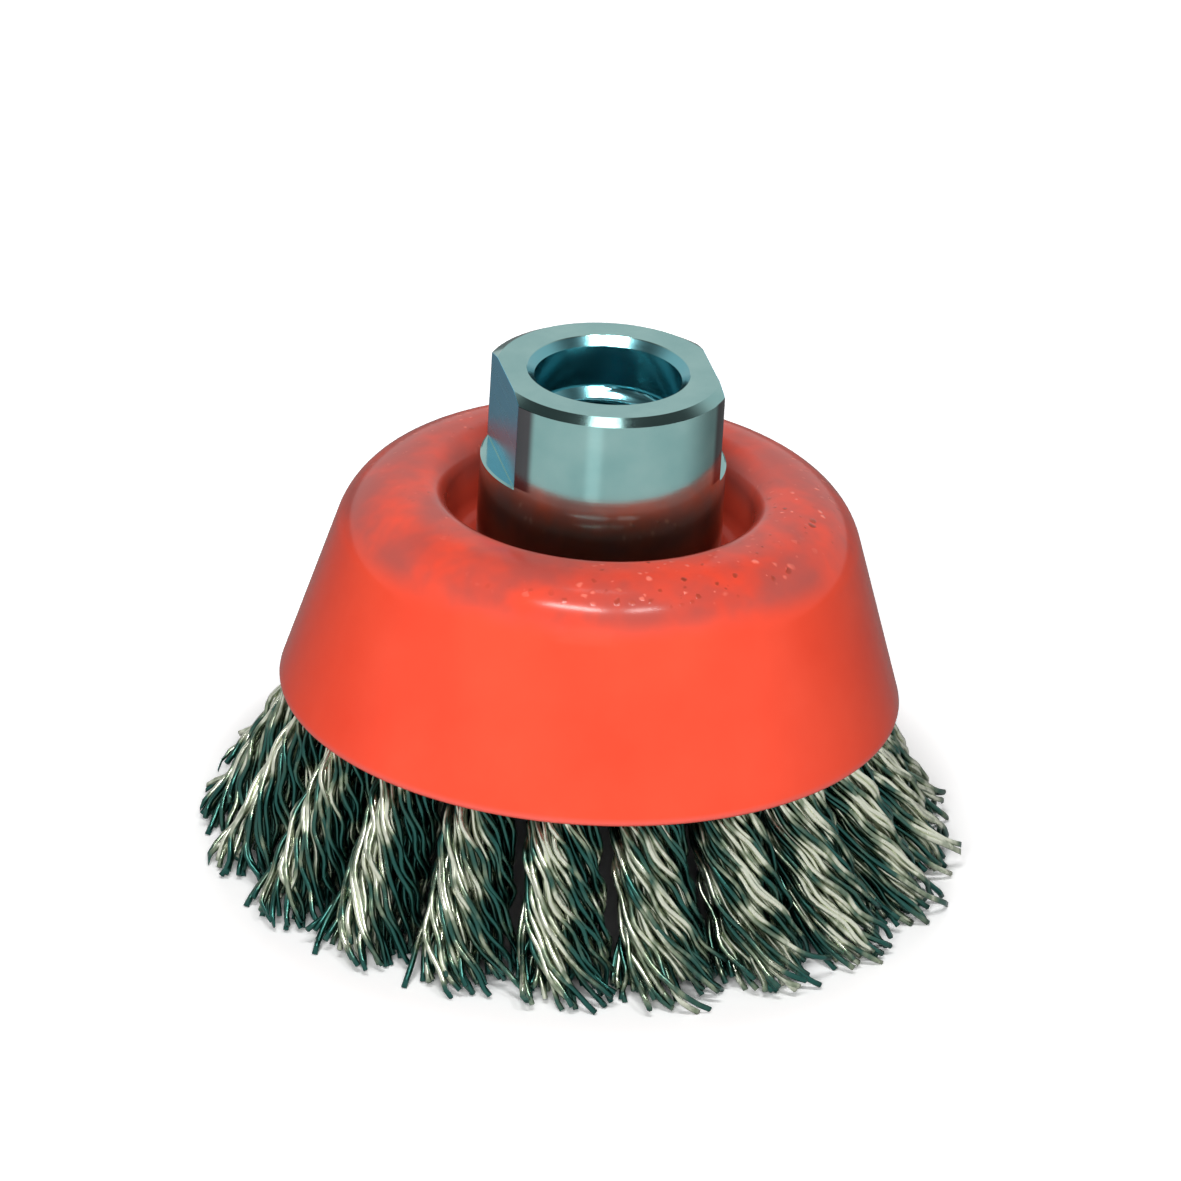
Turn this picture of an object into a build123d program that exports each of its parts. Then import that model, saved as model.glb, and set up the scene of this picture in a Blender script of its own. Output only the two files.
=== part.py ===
"""A twist-knot wire cup brush for an angle grinder, in millimetres.

The brush stands on its wire tips at Z = 0, with the axis of its thread along +Z. The two wrench
flats of the nut face +X and -X.
"""

import os
from math import cos, radians, sin, tan

from build123d import *

os.makedirs("parts", exist_ok=True)

# Cup, pressed from one sheet. Its sizes are those of the painted outer face.
cup_sheet = 1.5
cup_rim_radius = 30.5
cup_height = 21.9
skirt_lean = 16.25
shoulder_radius = 7.5
recess_radius = 15.1
recess_depth = 8.1
lip_radius = 2.6
recess_corner_radius = 2.0

# Free wire between the rim of the cup and the face of the brush.
wire_trim = 17.1

# Nut, with the tail that holds the brush together.
nut_diameter = 24.0
nut_height = 20.5
nut_edge_chamfer = 1.1
nut_edge_drop = 0.6
across_flats = 20.5
flat_length = 9.3
thread_bore_diameter = 11.84
counterbore_diameter = 14.4
counterbore_depth = 5.0
mouth_chamfer = 0.8
tail_wall = 1.7
tail_flare = 1.6
tail_flare_height = 1.4
tail_flare_taper = 35
tail_clearance = 0.1

# Disc that carries the knots, and the washer under it. The webs are the least metal that is left
# outside the disc's holes and between them.
plate_thickness = 2.0
plate_web = 1.0
hole_web = 1.9
knot_hole_clearance = 0.2
washer_thickness = 1.5
washer_diameter = 25.0

# Knots. Each is a bundle of wires, folded over the rim of the plate and twisted together below it.
# The twist leaves ridges with grooves between them, which grow deeper down to the cut ends.
knot_count = 20
knot_gap = 0.4
knot_clearance = 0.15
neck_drop = 0.8
neck_shift = 0.8
seat_above_rim = 4.6
tip_spread = 7.3
tip_sweep = 3.6
tip_notch = 1.6
twist_lay = 34.0
twist_ridges = 8
groove_ratio = 0.86
tip_groove_ratio = 0.74
twist_steps = 12
fold_sides = 6
fold_corner = 1.2
leg_share = 0.7

# Heights that the sizes above settle.
rim_height = wire_trim
crest_height = rim_height + cup_height
recess_floor_height = crest_height - recess_depth
plate_top = recess_floor_height - cup_sheet
plate_bottom = plate_top - plate_thickness
washer_bottom = plate_bottom - washer_thickness
tail_bottom = washer_bottom - tail_flare_height
nut_top = recess_floor_height + nut_height
neck_height = plate_bottom - neck_drop
seat_height = rim_height + seat_above_rim

# The tail is a tube round the thread, and it passes through the cup, the plate and the washer.
tail_radius = thread_bore_diameter / 2 + tail_wall
tail_hole_radius = tail_radius + tail_clearance

# The cup's skirt, as its slope and the cosine of its lean.
skirt_slope = tan(radians(skirt_lean))
skirt_cosine = cos(radians(skirt_lean))
half_pitch_sine = sin(radians(180 / knot_count))


def between(low, high, share):
    """Value that lies a share of the way from one value to another."""
    return low + (high - low) * share


def skirt_inside(height):
    """Radius of the cup's inner face at a height on the skirt."""
    return cup_rim_radius - cup_sheet / skirt_cosine - (height - rim_height) * skirt_slope


def knot_on_ring(ring_radius):
    """Own radius of a knot whose neighbours on the ring stand a gap away."""
    return ring_radius * half_pitch_sine - knot_gap / 2


def ring_in_skirt(height):
    """Radius of the ring on which knots of that size lie just inside the skirt."""
    reach = skirt_inside(height) - (knot_clearance - knot_gap / 2) / skirt_cosine
    return reach / (1 + half_pitch_sine / skirt_cosine)


# Each bundle is folded over the rim of the plate, between the recess and the skirt. Its size is what
# that room holds, or what the ring of holes beside the recess holds, whichever is less.
fold_inside = recess_radius + cup_sheet + knot_clearance
fold_outside = skirt_inside(plate_top + knot_clearance - fold_corner) - knot_clearance / skirt_cosine
fold_room = fold_outside - fold_inside - plate_web - knot_hole_clearance - knot_clearance
hole_room = fold_inside * half_pitch_sine - knot_hole_clearance - hole_web / 2
bundle_radius = min(fold_room / (4 + skirt_slope), hole_room / (1 - half_pitch_sine))
inner_leg = fold_inside + bundle_radius
outer_leg = fold_outside - bundle_radius * (1 + skirt_slope)
knot_hole_radius = bundle_radius + knot_hole_clearance
plate_radius = outer_leg - bundle_radius - knot_clearance
fold_top = plate_top + knot_clearance + bundle_radius

# The knots leave the plate a little inside the skirt and end on a ring outside the rim of the cup.
neck_ring = ring_in_skirt(neck_height) - neck_shift
tip_ring = (cup_rim_radius + tip_spread + knot_gap / 2) / (1 + half_pitch_sine)

# Cup: one sheet with a recessed centre, a rounded crest and shoulder and a flaring skirt.
with BuildPart() as cup_shell:
    with BuildSketch(Plane.XZ) as cup_wall:
        with BuildLine() as cup_outline:
            skirt_top_radius = cup_rim_radius - cup_height * skirt_slope
            shoulder_room = skirt_top_radius - recess_radius - lip_radius
            shoulder_limit = 0.95 * shoulder_room / tan(radians(45 - skirt_lean / 2))
            corner_limit = recess_radius - nut_diameter / 2
            FilletPolyline(
                (tail_hole_radius, recess_floor_height),
                (recess_radius, recess_floor_height),
                (recess_radius, crest_height),
                (skirt_top_radius, crest_height),
                (cup_rim_radius, rim_height),
                radius=[
                    min(recess_corner_radius, corner_limit),
                    lip_radius,
                    min(shoulder_radius, shoulder_limit),
                ],
            )
            offset(amount=cup_sheet, side=Side.RIGHT)
        make_face()
    revolve(axis=Axis.Z)
cup_shell.part.label = "cup_shell"

# Nut: a round collar with two wrench flats, a counterbored and tapped bore and a flared tail.
with BuildPart() as arbor_nut:
    with BuildSketch(Plane.XY.offset(recess_floor_height)):
        Circle(nut_diameter / 2)
    extrude(amount=nut_height)
    nut_face = arbor_nut.faces().sort_by(Axis.Z)[-1]
    chamfer(nut_face.edges(), nut_edge_chamfer, nut_edge_drop, reference=nut_face)
    with BuildSketch(Plane.XY.offset(nut_top - flat_length)):
        flat_cut = (nut_diameter - across_flats) / 2
        with GridLocations(across_flats + flat_cut, 0, 2, 1):
            Rectangle(flat_cut, nut_diameter)
    extrude(amount=flat_length, mode=Mode.SUBTRACT)
    with BuildSketch(Plane.XY.offset(recess_floor_height)):
        Circle(tail_radius)
    extrude(amount=tail_bottom - recess_floor_height)
    with BuildSketch(Plane.XY.offset(washer_bottom)):
        Circle(tail_radius + tail_flare)
    extrude(amount=-tail_flare_height, taper=tail_flare_taper)
    with Locations((0, 0, nut_top)):
        CounterBoreHole(thread_bore_diameter / 2, counterbore_diameter / 2, counterbore_depth)
    mouth = arbor_nut.faces().sort_by(Axis.Z)[-1].inner_wires()[0]
    chamfer(mouth.edges(), mouth_chamfer)
arbor_nut.part.label = "arbor_nut"

# Plate: a flat disc with one round hole for each bundle of wires.
with BuildPart() as knot_plate:
    with BuildSketch(Plane.XY.offset(plate_bottom)):
        Circle(plate_radius)
        Circle(tail_hole_radius, mode=Mode.SUBTRACT)
        with PolarLocations(inner_leg, knot_count):
            Circle(knot_hole_radius, mode=Mode.SUBTRACT)
    extrude(amount=plate_thickness)
knot_plate.part.label = "knot_plate"

# Washer: the ring that the tail of the nut is flared over.
with BuildPart() as clamp_washer:
    with BuildSketch(Plane.XY.offset(washer_bottom)):
        Circle(washer_diameter / 2)
        Circle(tail_hole_radius, mode=Mode.SUBTRACT)
    extrude(amount=washer_thickness)
clamp_washer.part.label = "clamp_washer"


# Height, ring radius and sweep angle of a knot at its neck, its seat in the skirt, the rim of the
# cup and its tips.
shank_stations = [
    (neck_height, neck_ring, 0),
    (seat_height, ring_in_skirt(seat_height), 0),
    (rim_height, ring_in_skirt(rim_height), 0),
    (0, tip_ring, tip_sweep),
]


def shank_ring(height):
    """Centre of a knot's ridged section at one height, and its corners, turned by the twist."""
    for upper, lower in zip(shank_stations, shank_stations[1:]):
        if height >= lower[0]:
            break
    share = (upper[0] - height) / (upper[0] - lower[0])
    ring_radius = between(upper[1], lower[1], share)
    sweep = between(upper[2], lower[2], share)
    radius = knot_on_ring(ring_radius)
    groove_radius = radius * between(tip_groove_ratio, groove_ratio, height / neck_height)
    centre = Vector(ring_radius, 0, height).rotate(Axis.Z, sweep)
    turn = sweep + 360 * (neck_height - height) / twist_lay
    corners = []
    for index in range(2 * twist_ridges):
        reach = radius if index % 2 == 0 else groove_radius
        angle = radians(turn + 180 * index / twist_ridges)
        corners.append(centre + Vector(reach * cos(angle), reach * sin(angle), 0))
    return centre, corners


def flat_face(*corners):
    """Flat face between three or more corners."""
    return Face(Wire.make_polygon(corners))


def twisted_shank():
    """Closed solid of a knot's shank, with flat facets that follow its wires down to the tips."""
    heights = [between(neck_height, 0, step / twist_steps) for step in range(twist_steps + 1)]
    rings = [shank_ring(height)[1] for height in heights]
    tip_centre, tips = shank_ring(0)
    notches = shank_ring(tip_notch)[1]
    rings[-1] = [notches[index] if index % 2 else tips[index] for index in range(2 * twist_ridges)]
    facets = [flat_face(*rings[0])]
    for index in range(2 * twist_ridges):
        after = (index + 1) % (2 * twist_ridges)
        facets.append(flat_face(tip_centre, rings[-1][index], rings[-1][after]))
        for upper, lower in zip(rings, rings[1:]):
            facets.append(flat_face(upper[index], upper[after], lower[index]))
            facets.append(flat_face(upper[after], lower[after], lower[index]))
    return Solid(Shell(facets))


# First knot, at +X: the fold comes up through its hole, over the web and down past the rim of the
# plate, and its two legs run into the twisted shank.
with BuildPart() as first_knot:
    leg_end = between(neck_height, seat_height, leg_share)
    with BuildLine(Plane.XZ) as fold:
        Polyline(
            (between(inner_leg, neck_ring, leg_share), leg_end),
            (inner_leg, neck_height),
            (inner_leg, fold_top - fold_corner),
            (inner_leg + fold_corner, fold_top),
            (outer_leg - fold_corner, fold_top),
            (outer_leg, fold_top - fold_corner),
            (outer_leg, plate_bottom),
            (outer_leg, leg_end),
        )
    with BuildSketch(Plane(origin=fold.line @ 0, x_dir=(0, 1, 0), z_dir=fold.line % 0)):
        RegularPolygon(bundle_radius, fold_sides)
    sweep(transition=Transition.RIGHT)
    add(twisted_shank())

for piece in (cup_shell, arbor_nut, knot_plate, clamp_washer):
    export_step(piece.part, f"parts/{piece.part.label}.step")

for index in range(knot_count):
    with BuildPart() as knot:
        add(first_knot.part, rotation=(0, 0, index * 360 / knot_count))
    knot.part.label = f"knot_{index + 1:02d}"
    export_step(knot.part, f"parts/{knot.part.label}.step")
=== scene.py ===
"""Looks of the wire cup brush: a turned and tapped nut, an enamelled cup and knots of single wires.

Sizes are in millimetres, as in the CAD model, and become metres where a mesh or a light is made.
"""

import math

import bpy
import numpy as np
from mathutils import Matrix, Vector


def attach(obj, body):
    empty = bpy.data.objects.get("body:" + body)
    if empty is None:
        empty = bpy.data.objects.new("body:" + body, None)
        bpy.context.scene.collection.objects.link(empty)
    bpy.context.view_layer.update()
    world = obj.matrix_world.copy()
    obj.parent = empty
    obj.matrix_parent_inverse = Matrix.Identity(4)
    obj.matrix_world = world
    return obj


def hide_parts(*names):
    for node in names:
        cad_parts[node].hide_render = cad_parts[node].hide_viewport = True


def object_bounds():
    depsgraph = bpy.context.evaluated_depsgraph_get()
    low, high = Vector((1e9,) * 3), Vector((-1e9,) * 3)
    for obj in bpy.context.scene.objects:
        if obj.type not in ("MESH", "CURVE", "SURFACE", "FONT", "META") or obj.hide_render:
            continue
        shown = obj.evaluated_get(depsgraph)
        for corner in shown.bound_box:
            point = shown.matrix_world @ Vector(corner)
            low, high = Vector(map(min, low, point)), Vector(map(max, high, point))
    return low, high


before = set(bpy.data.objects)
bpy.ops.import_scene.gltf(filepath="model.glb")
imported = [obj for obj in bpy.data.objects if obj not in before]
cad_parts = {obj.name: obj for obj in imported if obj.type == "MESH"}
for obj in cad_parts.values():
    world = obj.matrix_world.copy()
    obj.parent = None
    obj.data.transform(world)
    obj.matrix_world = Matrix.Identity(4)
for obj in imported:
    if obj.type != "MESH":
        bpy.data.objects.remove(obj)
cad_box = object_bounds()

MM = 0.001

# Camera, as in the photograph: the point on the axis at aim_height is seen at aim_pixel.
photo_pixels = 1181
pixels_per_mm = 10.24
view_azimuth = -13.75
view_elevation = 25.75
view_roll = 3.52
view_distance = 1507.0
aim_height = 30.4
aim_pixel = (596.7, 564.5)
sensor_width = 36.0

# Sky. Its ceiling is darker in what metal and enamel mirror, between two shares of the height.
sky_plain = 0.09
sky_horizon = 0.72
sky_zenith = 0.07
sky_edge = (0.56, 0.80)

# Floor, in metres, and the levels that its colour has for the camera: painted shadow, dark in the
# middle, which the wires hide, and pale beside the tips, and white further out.
floor_size = 8.0
floor_shadow_middle = 0.25
floor_shadow_beside = 1.10
floor_gain = 0.55
middle_edge = (28.0 * MM, 34.0 * MM)
beside_edge = (38.0 * MM, 55.0 * MM)

# What is mirrored of the floor: a gradient along the view, and a brighter streak to one side of it.
floor_plain = 0.40
mirrored_far = 0.26
mirrored_near = 0.70
mirrored_edge = (-50.0 * MM, 40.0 * MM)
streak_azimuth = -8
streak_edge = (0.988, 0.9995)
streak_gain = 0.28

# Cup.
cup_sheet = 1.5
cup_rim_radius = 30.5
skirt_lean = math.radians(16.25)
shoulder_radius = 7.5
recess_radius = 15.1
lip_radius = 2.6
recess_corner_radius = 2.0
rim_height = 17.1
crest_height = 39.0
recess_floor_height = 30.9
recess_floor_ring = 10.5
rim_edge_radius = 0.35
cup_segments = 288

# Nut.
nut_radius = 12.0
nut_top = 51.4
nut_edge_chamfer = 1.1
nut_edge_drop = 0.6
half_across_flats = 10.25
ledge_height = 42.1
ledge_edge = 0.18
collar_edge = 0.3
collar_rows = (34.0, 37.0, 39.5)
flat_rows = (43.5, 46.0, 48.5)
mouth_radius = 8.0
counterbore_radius = 7.2
counterbore_floor = 46.4
thread_minor_radius = 5.92
thread_major_radius = 7.0
thread_pitch = 2.0
thread_crest = 0.25
thread_root = 0.125
thread_steps = 12
tail_radius = 7.62
tail_hole_radius = 7.72
tail_flare_radius = 9.22
tail_end_radius = 8.24
tail_bottom = 24.5
washer_bottom = 25.9
nut_segments = 180

# Knots. Each row gives a height, the distance of the knot's middle from the axis of the brush, the
# knot's own radius there and how far it is swept round the axis.
knot_count = 20
knot_seed = 4100
shank_stations = np.array(
    [
        (0.0, 32.86, 4.94, 3.6),
        (17.1, 24.93, 3.70, 0.0),
        (21.7, 23.77, 3.52, 0.0),
        (26.6, 21.75, 3.20, 0.0),
    ]
)
twist_lay = 34.0
twist_ridges = 8
inner_leg = 18.47
outer_leg = 23.27
fold_base = 29.5
fold_height = 1.75
neck_height = 26.6
blend_height = 24.0
bundle_radius = 1.45
golden_angle = math.radians(137.5)

# Wires. Each layer gives how many wires it has and its share of the knot's radius. Below
# loose_height the wires spread, and below stray_height some of them bend away.
wire_radius = 0.29
wire_sides = 6
wire_layers = ((24, 1.0), (18, 0.78), (12, 0.56), (7, 0.34), (3, 0.13))
crimp_length = 4.6
crimp_height = 0.30
loose_height = 9.0
stray_height = 6.5
stray_share = 0.30
stray_reach = (0.8, 3.4)
box_margin = 0.02

# Colours, as linear red, green and blue.
enamel_deep = (0.92, 0.070, 0.030)
enamel_light = (0.98, 0.088, 0.040)
# Next: dust and painted shade on the crown, a painted sheen at the rim and painted shade in the recess.
enamel_dust_and_shade = (0.42, 0.085, 0.070)
enamel_rim_sheen = (0.72, 0.14, 0.12)
enamel_recess_shade = (0.24, 0.045, 0.035)
pit_deep = (0.24, 0.04, 0.02)
pit_light = (0.46, 0.06, 0.03)
speck_pale = (1.0, 0.24, 0.17)
zinc_deep = (0.28, 0.52, 0.51)
zinc_light = (0.36, 0.60, 0.58)
# Milled flats tinted blue as painted reflection; a painted dark reflection beside them; painted shade
# in the bore.
zinc_flat_and_reflection = (0.12, 0.56, 0.85)
zinc_shade = (0.07, 0.03, 0.04)
zinc_bore_shade = (0.17, 0.48, 0.55)
steel_deep = (0.22, 0.22, 0.23)
steel_light = (0.36, 0.36, 0.37)
# The wire colours are a scale of painted light, from painted shade between the wires to painted glints.
wire_dark = (0.036, 0.135, 0.118)
wire_dim = (0.075, 0.165, 0.130)
wire_lit = (0.33, 0.40, 0.28)
wire_bright = (0.88, 0.92, 0.76)


def polar(angle, radius, centre=(0.0, 0.0)):
    """Point at an angle in radians and a radius from a centre."""
    return (centre[0] + radius * math.cos(angle), centre[1] + radius * math.sin(angle))


# Camera and lamps.


def make_camera():
    """Camera at the photograph's angle, with its slight roll."""
    azimuth, elevation, roll = (math.radians(v) for v in (view_azimuth, view_elevation, view_roll))
    level = math.cos(elevation)
    back = Vector((math.sin(azimuth) * level, -math.cos(azimuth) * level, math.sin(elevation)))
    right = Vector((math.cos(azimuth), math.sin(azimuth), 0))
    up = back.cross(right)
    rolled_right = right * math.cos(roll) + up * math.sin(roll)
    rolled_up = up * math.cos(roll) - right * math.sin(roll)
    aim = Vector((0, 0, aim_height))
    aim -= rolled_right * (aim_pixel[0] - photo_pixels / 2) / pixels_per_mm
    aim += rolled_up * (aim_pixel[1] - photo_pixels / 2) / pixels_per_mm
    data = bpy.data.cameras.new("camera")
    data.sensor_width = sensor_width
    data.lens = sensor_width * view_distance * pixels_per_mm / photo_pixels
    data.clip_start = 0.1
    data.clip_end = 50
    camera = bpy.data.objects.new("camera", data)
    bpy.context.scene.collection.objects.link(camera)
    turn = Matrix((rolled_right, rolled_up, back)).transposed().to_4x4()
    camera.matrix_world = Matrix.Translation((aim + back * view_distance) * MM) @ turn
    bpy.context.scene.camera = camera


def from_camera(azimuth, elevation, distance):
    """Place at angles in degrees, with the azimuth counted from the camera's own."""
    around = math.radians(view_azimuth + azimuth)
    above = math.radians(elevation)
    level = distance * math.cos(above)
    return Vector((level * math.sin(around), -level * math.cos(around), distance * math.sin(above)))


def add_lamp(name, azimuth, elevation, distance, size, level, glossy=True):
    """Soft box that points at the brush. A level of 1 shows a facing colour as it is written."""
    data = bpy.data.lights.new(name, "AREA")
    data.shape = "RECTANGLE"
    data.size, data.size_y = size
    data.energy = level * (math.pi * distance) ** 2
    lamp = bpy.data.objects.new(name, data)
    lamp.location = from_camera(azimuth, elevation, distance)
    aim = Vector((0, 0, aim_height * MM)) - lamp.location
    lamp.rotation_euler = aim.to_track_quat("-Z", "Y").to_euler()
    lamp.visible_camera = False
    lamp.visible_glossy = glossy
    bpy.context.scene.collection.objects.link(lamp)


# Nodes.


def node_maker(tree):
    """Function that adds a node to a tree, with its settings and with its inputs linked or set."""

    def add(kind, inputs=None, **settings):
        node = tree.nodes.new(kind)
        for key, value in settings.items():
            setattr(node, key, value)
        for key, value in (inputs or {}).items():
            if isinstance(value, bpy.types.NodeSocket):
                tree.links.new(value, node.inputs[key])
            else:
                node.inputs[key].default_value = value
        return node

    return add


def arithmetic(add, operation, *values):
    """Result of an operation on one to three values, each a socket or a number."""
    return add("ShaderNodeMath", dict(enumerate(values)), operation=operation).outputs[0]


def product(add, first, second):
    """Product of a socket and another socket or number."""
    return arithmetic(add, "MULTIPLY", first, second)


def dot_product(add, first, second):
    """Dot product of a socket and a direction."""
    node = add("ShaderNodeVectorMath", {0: first, 1: second}, operation="DOT_PRODUCT")
    return node.outputs["Value"]


def distance_from_axis(add, place):
    """Distance of a place from the axis of the brush."""
    level = add("ShaderNodeVectorMath", {0: place, 1: (1, 1, 0)}, operation="MULTIPLY")
    return add("ShaderNodeVectorMath", {0: level.outputs[0]}, operation="LENGTH").outputs["Value"]


def span(add, source, low, high):
    """Smooth step from 0 at one value of a socket to 1 at another."""
    node = add(
        "ShaderNodeMapRange",
        {"Value": source, "From Min": low, "From Max": high},
        interpolation_type="SMOOTHSTEP",
    )
    return node.outputs[0]


def between(add, share, low, high):
    """Number that lies a share of the way from one number to another."""
    return add("ShaderNodeMapRange", {"Value": share, "To Min": low, "To Max": high}).outputs[0]


def choice(add, share, first, second):
    """First number where the share is 0, and the second where it is 1."""
    return add("ShaderNodeMix", {0: share, 2: first, 3: second}, data_type="FLOAT").outputs[0]


def blend_colours(add, share, base, colour):
    """Mix of a colour socket with another one or with a plain colour, by a share from 0 to 1."""
    if isinstance(colour, tuple):
        colour = (*colour, 1)
    return add("ShaderNodeMix", {0: share, 6: base, 7: colour}, data_type="RGBA").outputs[2]


def ramp(add, source, stops):
    """Colour ramp over pairs of a place and a colour."""
    node = add("ShaderNodeValToRGB", {0: source})
    elements = node.color_ramp.elements
    while len(elements) < len(stops):
        elements.new(0.5)
    for element, (place, colour) in zip(elements, stops):
        element.position = place
        element.color = (*colour, 1)
    return node.outputs["Color"]


def noise(add, place, scale, detail=3.0, roughness=0.5):
    """Noise over a place, as a value."""
    inputs = {"Vector": place, "Scale": scale, "Detail": detail, "Roughness": roughness}
    return add("ShaderNodeTexNoise", inputs).outputs["Fac"]


# Stage.


def ray_kinds(add):
    """Sockets that are 1 for the camera's own rays and for rays mirrored or let through."""
    path = add("ShaderNodeLightPath").outputs
    mirrored = arithmetic(add, "MAXIMUM", path["Is Glossy Ray"], path["Is Transmission Ray"])
    return path["Is Camera Ray"], mirrored


def make_world():
    """White background, with a darker ceiling in what is mirrored and plain light for the rest."""
    world = bpy.data.worlds.new("studio")
    bpy.context.scene.world = world
    world.use_nodes = True
    world.node_tree.nodes.clear()
    add = node_maker(world.node_tree)
    seen, mirrored = ray_kinds(add)
    place = add("ShaderNodeTexCoord").outputs["Generated"]
    height = add("ShaderNodeSeparateXYZ", {0: place}).outputs["Z"]
    ceiling = between(add, span(add, height, *sky_edge), sky_horizon, sky_zenith)
    level = choice(add, seen, choice(add, mirrored, sky_plain, ceiling), 1.0)
    sky = add("ShaderNodeBackground", {"Color": (1, 1, 1, 1), "Strength": level})
    add("ShaderNodeOutputWorld", {"Surface": sky.outputs[0]})


def make_floor():
    """White floor with the brush's shadow and painted shadow near it, and a gradient and a streak where
    mirrored.
    """
    bpy.ops.mesh.primitive_plane_add(size=floor_size, location=(0, 0, 0))
    floor = bpy.context.object
    floor.name = "floor"
    material = bpy.data.materials.new("floor")
    material.use_nodes = True
    material.node_tree.nodes.clear()
    add = node_maker(material.node_tree)
    seen, mirrored = ray_kinds(add)
    place = add("ShaderNodeTexCoord").outputs["Object"]
    ahead = span(add, dot_product(add, place, from_camera(0, 0, 1)), *mirrored_edge)
    bearing = add("ShaderNodeVectorMath", {0: place}, operation="NORMALIZE").outputs[0]
    along_streak = dot_product(add, bearing, from_camera(streak_azimuth, 0, 1))
    streak = product(add, span(add, along_streak, *streak_edge), streak_gain)
    in_metal = arithmetic(add, "ADD", between(add, ahead, mirrored_far, mirrored_near), streak)
    # Painted shadow: the camera sees the floor dark under the brush and paler beside its tips.
    from_axis = distance_from_axis(add, place)
    beside = between(add, span(add, from_axis, *middle_edge), floor_shadow_middle, floor_shadow_beside)
    beyond = product(add, span(add, from_axis, *beside_edge), floor_gain)
    to_camera = arithmetic(add, "ADD", beside, beyond)
    level = choice(add, seen, choice(add, mirrored, floor_plain, in_metal), to_camera)
    paint = add("ShaderNodeBsdfDiffuse", {"Color": level})
    add("ShaderNodeOutputMaterial", {"Surface": paint.outputs[0]})
    floor.data.materials.append(material)


# Materials.


def new_material(name):
    """Material with a Principled shader, and the function that adds nodes to it."""
    material = bpy.data.materials.new(name)
    material.use_nodes = True
    material.node_tree.nodes.clear()
    add = node_maker(material.node_tree)
    shader = add("ShaderNodeBsdfPrincipled")
    add("ShaderNodeOutputMaterial", {"Surface": shader.outputs[0]})
    return material, add, shader


def connect(material, source, shader, name):
    """Links a socket to one of the shader's inputs."""
    material.node_tree.links.new(source, shader.inputs[name])


def enamel_specks(add, place, axes):
    """Share and colour of pits and pale specks, in patches on top of the crown and mostly at +X."""
    shake = add("ShaderNodeTexNoise", {"Vector": place, "Scale": 900.0, "Detail": 1.0}).outputs["Color"]
    shake = add("ShaderNodeVectorMath", {0: shake, "Scale": 0.7 * MM}, operation="SCALE").outputs[0]
    shaken = add("ShaderNodeVectorMath", {0: place, 1: shake}, operation="ADD").outputs[0]
    spots = add("ShaderNodeTexVoronoi", {"Vector": shaken, "Scale": 1000.0}, feature="F1")
    kinds = add("ShaderNodeSeparateColor", {0: spots.outputs["Color"]}).outputs
    size = between(add, kinds["Blue"], 0.18, 0.48)
    near = span(add, arithmetic(add, "SUBTRACT", spots.outputs["Distance"], size), 0.0, -0.25)
    chosen = span(add, kinds["Green"], 0.24, 0.30)
    patches = span(add, noise(add, place, 110, detail=2), 0.42, 0.58)
    patches = product(add, patches, span(add, axes["X"], -34 * MM, 12 * MM))
    on_top = span(add, axes["Z"], 36.6 * MM, 38.0 * MM)
    speck = product(add, product(add, near, patches), product(add, chosen, on_top))
    colour = ramp(add, kinds["Red"], ((0.0, pit_deep), (0.42, pit_light), (0.5, speck_pale)))
    return speck, colour


def orange_enamel():
    """Glossy orange-red enamel: dust, specks and painted shade on the crown, painted sheen at rim,
    painted shade in recess.
    """
    material, add, shader = new_material("orange_enamel")
    place = add("ShaderNodeTexCoord").outputs["Object"]
    axes = add("ShaderNodeSeparateXYZ", {0: place}).outputs
    tone = noise(add, place, 90, detail=4)
    colour = ramp(add, tone, ((0.3, enamel_deep), (0.7, enamel_light)))
    # Dust and painted shade: the top of the cup is darker, in patches.
    crown = span(add, axes["Z"], 34.0 * MM, 36.5 * MM)
    dust_and_shade = span(add, noise(add, place, 130, detail=3, roughness=0.55), 0.18, 0.66)
    dust_and_shade = product(add, product(add, dust_and_shade, crown), 0.85)
    colour = blend_colours(add, dust_and_shade, colour, enamel_dust_and_shade)
    # Painted sheen: a paler, pinker band along the rim.
    rim = span(add, axes["Z"], (rim_height + 0.8) * MM, (rim_height + 0.2) * MM)
    colour = blend_colours(add, product(add, rim, 0.6), colour, enamel_rim_sheen)
    # Painted shade: the enamel darkens into the recess around the nut.
    recess = span(add, distance_from_axis(add, place), 17.0 * MM, (recess_radius + 0.1) * MM)
    colour = blend_colours(add, product(add, recess, 0.45), colour, enamel_recess_shade)
    speck, speck_colour = enamel_specks(add, place, axes)
    connect(material, blend_colours(add, speck, colour, speck_colour), shader, "Base Color")
    ripple = product(add, noise(add, place, 420, detail=2), 0.05)
    height = arithmetic(add, "ADD", speck, ripple)
    bump = add("ShaderNodeBump", {"Height": height, "Strength": 0.35, "Distance": 0.12 * MM})
    connect(material, bump.outputs[0], shader, "Normal")
    shader.inputs["Roughness"].default_value = 0.17
    shader.inputs["IOR"].default_value = 1.32
    return material


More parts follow.
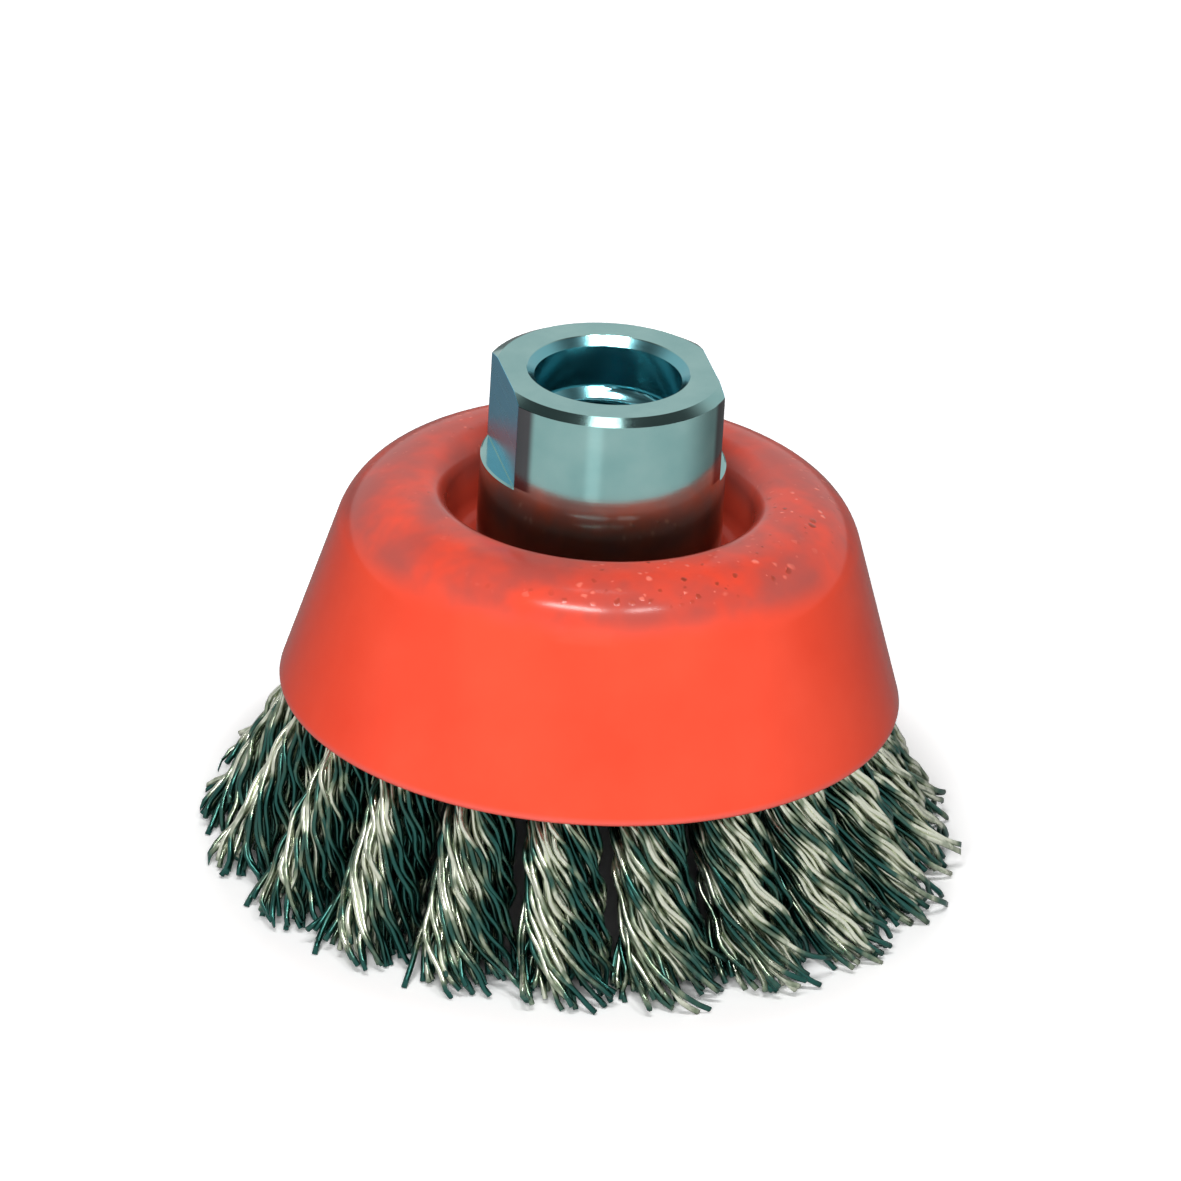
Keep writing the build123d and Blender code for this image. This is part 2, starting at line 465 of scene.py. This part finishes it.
def zinc_plate():
    """Turned steel, bright bluish zinc plating, milled flats with painted reflection on and beside
    them, painted shade in the bore.
    """
    material, add, shader = new_material("zinc_plate")
    place = add("ShaderNodeTexCoord").outputs["Object"]
    axes = add("ShaderNodeSeparateXYZ", {0: place}).outputs
    from_axis = distance_from_axis(add, place)
    sideways = arithmetic(add, "ABSOLUTE", axes["X"])
    above_ledge = span(add, axes["Z"], (ledge_height + 0.1) * MM, (ledge_height + 0.2) * MM)
    on_flat = span(add, sideways, (half_across_flats - 0.06) * MM, (half_across_flats - 0.02) * MM)
    milled = product(add, on_flat, above_ledge)
    beside_flat = span(add, sideways, (half_across_flats - 1.4) * MM, (half_across_flats - 0.8) * MM)
    outside = span(add, from_axis, (nut_radius - 0.08) * MM, (nut_radius - 0.03) * MM)
    shaded = product(add, product(add, beside_flat, outside), above_ledge)
    bored = span(add, from_axis, (mouth_radius - 0.02) * MM, (mouth_radius - 0.12) * MM)
    tone = noise(add, place, 220, detail=4)
    colour = ramp(add, tone, ((0.3, zinc_deep), (0.7, zinc_light)))
    # Milled flats: a blue tint that is painted reflection over their rougher finish.
    colour = blend_colours(add, product(add, milled, 0.85), colour, zinc_flat_and_reflection)
    # Painted reflection: a dark band beside each flat.
    colour = blend_colours(add, product(add, shaded, 0.85), colour, zinc_shade)
    # Painted shade in the bore.
    colour = blend_colours(add, product(add, bored, 0.85), colour, zinc_bore_shade)
    connect(material, colour, shader, "Base Color")
    rings = add("ShaderNodeMapping", {"Vector": place, "Scale": (60, 60, 9000)}).outputs[0]
    grooves = noise(add, rings, 1.0, detail=3, roughness=0.7)
    dull = between(add, grooves, 0.08, 0.17)
    dull = arithmetic(add, "MULTIPLY_ADD", bored, 0.07, dull)
    dull = arithmetic(add, "MULTIPLY_ADD", milled, 0.16, dull)
    connect(material, dull, shader, "Roughness")
    bump = add("ShaderNodeBump", {"Height": grooves, "Strength": 0.08, "Distance": 0.02 * MM})
    connect(material, bump.outputs[0], shader, "Normal")
    tangent = add("ShaderNodeTangent", direction_type="RADIAL", axis="Z")
    connect(material, tangent.outputs[0], shader, "Tangent")
    shader.inputs["Metallic"].default_value = 1.0
    shader.inputs["Anisotropic"].default_value = 0.55
    return material


def stamped_steel():
    """Dull, lightly scuffed steel of the parts inside the cup."""
    material, add, shader = new_material("stamped_steel")
    place = add("ShaderNodeTexCoord").outputs["Object"]
    tone = noise(add, place, 300, detail=6, roughness=0.7)
    colour = ramp(add, tone, ((0.3, steel_deep), (0.7, steel_light)))
    connect(material, colour, shader, "Base Color")
    connect(material, between(add, tone, 0.38, 0.58), shader, "Roughness")
    shader.inputs["Metallic"].default_value = 1.0
    return material


def crimped_wire():
    """Steel wire, finely patinated, whose brightness is painted light and shade from the mesh and
    painted glints from a noise.
    """
    material, add, shader = new_material("crimped_wire")
    place = add("ShaderNodeTexCoord").outputs["Object"]
    shade = add("ShaderNodeAttribute", attribute_name="wire_shade").outputs["Fac"]
    # The noise stretched along the wires is both a patinated tone and painted glints, and sets the
    # roughness.
    stretched = add("ShaderNodeMapping", {"Vector": place, "Scale": (620, 620, 260)}).outputs[0]
    patina_and_glints = noise(add, stretched, 1.0, detail=2, roughness=0.6)
    painted_light_and_patina = span(add, arithmetic(add, "ADD", shade, patina_and_glints), 0.45, 1.55)
    stops = ((0.0, wire_dark), (0.32, wire_dim), (0.6, wire_lit), (0.85, wire_bright))
    connect(material, ramp(add, painted_light_and_patina, stops), shader, "Base Color")
    connect(material, between(add, patina_and_glints, 0.38, 0.20), shader, "Roughness")
    shader.inputs["Metallic"].default_value = 1.0
    return material


# Cup and nut.


def add_piece(name, points, faces, material, nodes, smooth_angle=None):
    """Mesh object in the frame of the brush, from points in millimetres."""
    mesh = bpy.data.meshes.new(name)
    mesh.from_pydata((np.asarray(points) * MM).tolist(), [], faces)
    mesh.materials.append(material)
    mesh.shade_smooth()
    if smooth_angle is not None:
        mesh.set_sharp_from_angle(angle=math.radians(smooth_angle))
    piece = bpy.data.objects.new(name, mesh)
    bpy.context.scene.collection.objects.link(piece)
    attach(piece, "root")
    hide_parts(*nodes)
    return piece


def grid_faces(rows, columns):
    """Four-sided faces of a grid whose rows and columns both close on themselves."""
    faces = []
    for row in range(rows):
        start = row * columns
        above = (row + 1) % rows * columns
        for column in range(columns):
            after = (column + 1) % columns
            faces.append((start + column, start + after, above + after, above + column))
    return faces


def arc_steps(start, end, steps):
    """Angles in radians from start to end, both in degrees."""
    return np.radians(np.linspace(start, end, steps + 1))


def cup_profile():
    """Closed outline of the cup's sheet, as radius and height, along the outside and back inside."""
    lean = math.degrees(skirt_lean)
    shoulder_z = crest_height - shoulder_radius
    skirt_run = (shoulder_z - rim_height) * math.tan(skirt_lean)
    shoulder_r = cup_rim_radius - skirt_run - shoulder_radius / math.cos(skirt_lean)
    corner = (recess_radius - recess_corner_radius, recess_floor_height + recess_corner_radius)
    lip = (recess_radius + lip_radius, crest_height - lip_radius)
    shoulder = (shoulder_r, shoulder_z)
    outside = [(radius, recess_floor_height) for radius in (tail_hole_radius, recess_floor_ring)]
    inside = [(radius, height - cup_sheet) for radius, height in outside]
    for angle in arc_steps(-90, 0, 10):
        outside.append(polar(angle, recess_corner_radius, corner))
        inside.append(polar(angle, recess_corner_radius + cup_sheet, corner))
    for angle in arc_steps(180, 90, 16):
        outside.append(polar(angle, lip_radius, lip))
        inside.append(polar(angle, lip_radius - cup_sheet, lip))
    for angle in arc_steps(90, lean, 28):
        outside.append(polar(angle, shoulder_radius, shoulder))
        inside.append(polar(angle, shoulder_radius - cup_sheet, shoulder))
    rim = np.array((cup_rim_radius, rim_height))
    inner_rim = np.array(polar(skirt_lean + math.pi, cup_sheet, rim))
    for share in (0.25, 0.5, 0.75):
        outside.append(tuple(np.array(outside[-1]) * (1 - share) + rim * share))
        inside.append(tuple(np.array(inside[-1]) * (1 - share) + inner_rim * share))
    down = np.array((math.sin(skirt_lean), -math.cos(skirt_lean)))
    across = np.array((-math.cos(skirt_lean), -math.sin(skirt_lean)))
    turn = []
    for inset, first, last in ((rim_edge_radius, 0, 90), (cup_sheet - rim_edge_radius, 90, 180)):
        centre = rim + across * inset - down * rim_edge_radius
        for angle in arc_steps(first, last, 5):
            edge = -across * math.cos(angle) + down * math.sin(angle)
            turn.append(tuple(centre + edge * rim_edge_radius))
    return outside + turn + inside[::-1]


def make_cup(material):
    """Cup, turned from its outline, with a small rounded edge at its rim."""
    profile = np.array(cup_profile())
    around = np.linspace(0, 2 * math.pi, cup_segments, endpoint=False)
    radii, heights = profile[:, 0], profile[:, 1]
    points = np.stack(
        (
            np.outer(radii, np.cos(around)),
            np.outer(radii, np.sin(around)),
            np.outer(heights, np.ones(cup_segments)),
        ),
        axis=-1,
    ).reshape(-1, 3)
    faces = grid_faces(len(profile), cup_segments)
    add_piece("painted_cup", points, faces, material, ["cup_shell"], smooth_angle=50)


def thread_radius(around, height):
    """Radius of the tapped bore, whose first turn runs out at the counterbore."""
    share = (height / thread_pitch - around / (2 * math.pi)) % 1
    flank = 1 - thread_crest - thread_root
    depth = np.clip((np.abs(share - 0.5) * 2 - thread_crest) / flank, 0, 1)
    thread = thread_minor_radius + depth * (thread_major_radius - thread_minor_radius)
    return np.maximum(thread, thread_major_radius - (counterbore_floor - height))


def nut_angles():
    """Angles of the nut's columns, with one at each end of a flat and of its top edge."""
    edges = []
    for radius in (nut_radius, nut_radius - nut_edge_chamfer):
        edge = math.acos(half_across_flats / radius)
        edges += [edge, math.pi - edge, math.pi + edge, 2 * math.pi - edge]
    columns = np.linspace(0, 2 * math.pi, nut_segments, endpoint=False)
    return np.sort(np.append(columns, edges))


def nut_rows(around):
    """Radius at each angle and height of the nut's rows, up its outside, down its bore and back."""
    whole = np.ones_like(around)
    flat = np.minimum(nut_radius, half_across_flats / np.maximum(np.abs(np.cos(around)), 0.01))
    ledge = np.where(flat < nut_radius - 0.001, nut_radius - ledge_edge, nut_radius)
    chamfer_share = np.clip((nut_radius - flat) / nut_edge_chamfer, 0, 0.97)
    chamfer_start = nut_top - nut_edge_drop * (1 - chamfer_share)
    corner = np.minimum(nut_radius - nut_edge_chamfer, flat - 0.02)
    rows = [(whole * (nut_radius - collar_edge), recess_floor_height)]
    for height in (recess_floor_height + collar_edge, *collar_rows, ledge_height - ledge_edge):
        rows.append((whole * nut_radius, height))
    rows.append((ledge, ledge_height - 0.02))
    for height in (ledge_height, *flat_rows, chamfer_start):
        rows.append((flat, height))
    for share in (0.0, 0.25, 0.5, 0.75, 1.0):
        rows.append((corner * (1 - share) + mouth_radius * share, nut_top))
    mouth_bottom = nut_top - mouth_radius + counterbore_radius
    for height in np.linspace(mouth_bottom, counterbore_floor, 8):
        rows.append((whole * counterbore_radius, height))
    for height in np.arange(counterbore_floor - 0.01, tail_bottom + 0.05, -thread_pitch / thread_steps):
        rows.append((thread_radius(around, height), height))
    rows.append((thread_radius(around, tail_bottom), tail_bottom))
    rows.append((whole * tail_end_radius, tail_bottom))
    rows.append((whole * tail_flare_radius, washer_bottom))
    rows.append((whole * tail_radius, washer_bottom + 0.02))
    rows.append((whole * tail_radius, recess_floor_height - 0.02))
    return rows


def make_nut(material):
    """Nut with two wrench flats and their ledges, a counterbored thread and a flared tail."""
    around = nut_angles()
    rows = nut_rows(around)
    points = [
        np.stack(np.broadcast_arrays(radius * np.cos(around), radius * np.sin(around), height), axis=-1)
        for radius, height in rows
    ]
    faces = grid_faces(len(rows), len(around))
    points = np.concatenate(points)
    nut = add_piece("turned_nut", points, faces, material, ["arbor_nut"], smooth_angle=22)
    smooth_thread(nut.data)


def smooth_thread(mesh):
    """Clears the sharp marks inside the tapped bore, where the shape is smooth."""
    places = np.empty(len(mesh.vertices) * 3)
    mesh.vertices.foreach_get("co", places)
    places = places.reshape(-1, 3) / MM
    bore = np.hypot(places[:, 0], places[:, 1]) < thread_major_radius + 0.01
    bore &= (places[:, 2] > tail_bottom + 0.1) & (places[:, 2] < counterbore_floor - 0.3)
    ends = np.empty(len(mesh.edges) * 2, dtype=int)
    mesh.edges.foreach_get("vertices", ends)
    inside = bore[ends.reshape(-1, 2)].all(axis=1)
    sharp = mesh.attributes["sharp_edge"].data
    marks = np.empty(len(sharp), dtype=bool)
    sharp.foreach_get("value", marks)
    marks[inside] = False
    sharp.foreach_set("value", marks)


# Knots.


def shank_at(height):
    """Distance of a knot's middle from the axis, its own radius, its sweep and its twist."""
    levels = shank_stations[:, 0]
    ring = np.interp(height, levels, shank_stations[:, 1])
    radius = np.interp(height, levels, shank_stations[:, 2])
    sweep = np.radians(np.interp(height, levels, shank_stations[:, 3]))
    turn = sweep + 2 * math.pi * (neck_height - height) / twist_lay
    return ring, radius, sweep, turn


def matched_order(across, along, row=8):
    """Order that pairs the places of one bundle's section with those of another."""
    order = np.argsort(across)
    groups = [order[start : start + row] for start in range(0, len(order), row)]
    return np.concatenate([group[np.argsort(along[group])] for group in groups])


def section_places(rng):
    """Places of the wires in the twisted section, as a share of its radius and an angle."""
    shares, angles = [], []
    for count, share in wire_layers:
        start = rng.uniform(0, 2 * math.pi)
        step = 2 * math.pi / count
        for index in range(count):
            shares.append(share * rng.uniform(0.93, 1.02))
            angles.append(start + step * (index + rng.uniform(-0.28, 0.28)))
    shares, angles = np.array(shares), np.array(angles)
    angles = angles - 0.5 / twist_ridges * np.sin(twist_ridges * angles) * shares
    shares = shares * (0.93 + 0.07 * np.cos(twist_ridges * angles))
    return shares, angles


def shank_paths(rng, shares, angles, steps=38):
    """Paths of wires from their cut ends up to the place where the twist begins."""
    count = len(shares)

    def drawn(low, high):
        return rng.uniform(low, high, count)[:, None]

    def shaken(middle, spread):
        return rng.normal(middle, spread, count)[:, None]

    # Each wire is cut at its own height, and its twist loosens towards that end.
    trim = np.abs(shaken(0.0, 1.0))
    height = trim + (blend_height - trim) * np.linspace(0, 1, steps)
    ring, radius, sweep, turn = shank_at(height)
    loose = np.clip((loose_height - height) / loose_height, 0, 1) ** 2
    spread = 1 + loose * drawn(-0.10, 0.30)
    angle = angles[:, None] + turn + loose * shaken(0, 0.22)
    reach = shares[:, None] * (radius - wire_radius - crimp_height * 0.5) * spread
    x = ring * np.cos(sweep) + reach * np.cos(angle)
    y = ring * np.sin(sweep) + reach * np.sin(angle)

    # The crimp is a wave along each wire.
    wave = 2 * math.pi * height / (crimp_length * drawn(0.88, 1.12))
    wave = np.sin(wave + drawn(0, 2 * math.pi))
    facing = angle + shaken(math.pi / 2, 0.9)
    swing = crimp_height * drawn(0.6, 1.3) * wave
    x = x + swing * np.cos(facing)
    y = y + swing * np.sin(facing)

    # Some of the wires bend away from their knot at the tips.
    stray = np.where(drawn(0, 1) < stray_share, drawn(*stray_reach), 0.0)
    bend = np.clip((stray_height - height) / stray_height, 0, 1) ** 2 * stray
    heading = angle + shaken(0, 0.5)
    x = x + bend * np.cos(heading)
    y = y + bend * np.sin(heading)
    height = height + bend * drawn(0.0, 0.5)
    return np.stack((x, y, height), axis=-1)


def fold_paths():
    """Paths of a bundle's wires over the plate's web, from the inner leg to the outer one."""
    count = sum(layer[0] for layer in wire_layers) // 2
    places = np.arange(count)
    reach = np.sqrt((places + 0.5) / count) * bundle_radius
    around = places * golden_angle
    lift, side = reach * np.cos(around), reach * np.sin(around)
    rank = matched_order(lift, side)
    lift, side = lift[rank][:, None], side[rank][:, None]
    arch = arc_steps(0, 180, 8)
    middle, half_width = (inner_leg + outer_leg) / 2, (outer_leg - inner_leg) / 2
    over = np.stack(
        (
            middle - (half_width + lift) * np.cos(arch),
            side * np.ones_like(arch),
            fold_base + (fold_height + lift) * np.sin(arch),
        ),
        axis=-1,
    )
    up, down = over[:, :1].copy(), over[:, -1:].copy()
    up[:, :, 2] = neck_height
    down[:, :, 2] = neck_height
    return np.concatenate((up, over, down), axis=1)


def knot_paths(rng):
    """Paths of a knot's wires: up the twisted shank, over the plate's web and down again."""
    shares, angles = section_places(rng)
    across, along = shares * np.cos(angles), shares * np.sin(angles)
    order = np.argsort(across)
    inner, outer = np.split(order, 2)
    inner = inner[matched_order(-across[inner], along[inner])]
    outer = outer[matched_order(across[outer], along[outer])]
    paths = shank_paths(rng, shares, angles)
    return np.concatenate((paths[inner], fold_paths(), paths[outer][:, ::-1]), axis=1)


def tube_mesh(paths):
    """Points and faces of closed tubes along paths with equally many points."""
    count, steps = paths.shape[:2]
    along = np.gradient(paths, axis=1)
    along /= np.linalg.norm(along, axis=-1, keepdims=True)
    first = np.cross(along, np.array((0.0, 1.0, 0.0)))
    first /= np.linalg.norm(first, axis=-1, keepdims=True)
    second = np.cross(along, first)
    around = np.arange(wire_sides)[:, None] * 2 * math.pi / wire_sides
    ring = first[:, :, None] * np.cos(around) + second[:, :, None] * np.sin(around)
    points = (paths[:, :, None] + wire_radius * ring).reshape(-1, 3)
    index = np.arange(count * steps * wire_sides).reshape(count, steps, wire_sides)
    after = np.roll(index, -1, axis=2)
    quads = np.stack((index[:, :-1], index[:, 1:], after[:, 1:], after[:, :-1]), axis=-1)
    faces = quads.reshape(-1, 4).tolist()
    faces += index[:, 0].tolist()
    faces += index[:, -1, ::-1].tolist()
    return points, faces


def turned(points, angle):
    """Points, turned round the axis of the brush by an angle in radians."""
    x = points[:, 0] * math.cos(angle) - points[:, 1] * math.sin(angle)
    y = points[:, 0] * math.sin(angle) + points[:, 1] * math.cos(angle)
    return np.stack((x, y, points[:, 2]), axis=-1)


def kept_inside(points):
    """Points, with those of stray wires moved inside the box of the CAD model."""
    reach = cad_box[1].x / MM - box_margin
    shrink = np.minimum(1, reach / np.hypot(points[:, 0], points[:, 1]))
    height = np.maximum(points[:, 2], box_margin)
    return np.stack((points[:, 0] * shrink, points[:, 1] * shrink, height), axis=-1)


def wire_shades(rng, paths):
    """Brightness of each wire: painted light on a knot's outside, painted shade on its sides and
    grooves, low at tips.
    """
    x, y, height = paths[:, :, 0], paths[:, :, 1], paths[:, :, 2]
    ring, radius, sweep, turn = shank_at(height)
    across_x, across_y = x - ring * np.cos(sweep), y - ring * np.sin(sweep)
    outward = np.clip((across_x * np.cos(sweep) + across_y * np.sin(sweep)) / radius, -1, 1)
    aside = (across_y * np.cos(sweep) - across_x * np.sin(sweep)) / radius
    # Painted light: face lights a knot's outside, ridge shades its grooves, strand and glint are
    # painted highlights.
    face = np.cos(math.pi * np.clip(np.abs(aside + 0.25), 0, 1)) * np.clip(outward + 0.6, 0, 1)
    local = np.arctan2(across_y, across_x) - turn
    ridge = np.cos(twist_ridges * local)
    first, second = rng.uniform(0, 2 * math.pi, 2)
    strand = np.sin(5 * local + 0.55 * height + first) + np.sin(3 * local - 0.45 * height + second)
    own = rng.uniform(-0.15, 0.15, len(paths))[:, None]
    length = rng.uniform(3.0, 6.0, len(paths))[:, None]
    phase = rng.uniform(0, 2 * math.pi, len(paths))[:, None]
    glint = np.sin(2 * math.pi * height / length + phase)
    tip = np.clip(1 - height / 3.5, 0, 1)
    return 0.44 + own + 0.32 * face + 0.12 * ridge + 0.15 * strand + 0.20 * glint - 0.36 * tip


def make_knot(number, material):
    """One knot of crimped wires, in place of its CAD solid."""
    rng = np.random.default_rng(knot_seed + number)
    paths = knot_paths(rng)
    points, faces = tube_mesh(paths)
    points = kept_inside(turned(points, 2 * math.pi * (number - 1) / knot_count))
    name = f"wire_knot_{number:02d}"
    knot = add_piece(name, points, faces, material, [f"knot_{number:02d}"])
    marks = knot.data.attributes.new("wire_shade", "FLOAT", "POINT")
    marks.data.foreach_set("value", np.repeat(wire_shades(rng, paths).ravel(), wire_sides))


def dress_node(name, material):
    """Gives a CAD node that stays in view its material."""
    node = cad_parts[name]
    node.data.materials.clear()
    node.data.materials.append(material)


make_camera()
make_world()
make_floor()

# Each lamp's azimuth from the camera, elevation and distance, its width and height, and its level.
add_lamp("left_lamp", -15, 67, 1.5, (0.46, 0.08), 0.32)
add_lamp("right_lamp", 36, 65, 1.5, (0.24, 0.07), 0.11)
add_lamp("top_lamp", 180, 83, 1.5, (0.28, 0.10), 0.018)
add_lamp("front_fill", -4, 26, 1.4, (0.6, 0.6), 0.84, glossy=False)
add_lamp("back_fill", 176, 28, 1.4, (0.8, 0.6), 0.22, glossy=False)

wire = crimped_wire()
steel = stamped_steel()
make_cup(orange_enamel())
make_nut(zinc_plate())
for number in range(1, knot_count + 1):
    make_knot(number, wire)
dress_node("knot_plate", steel)
dress_node("clamp_washer", steel)

bpy.context.scene.view_settings.view_transform = "Standard"
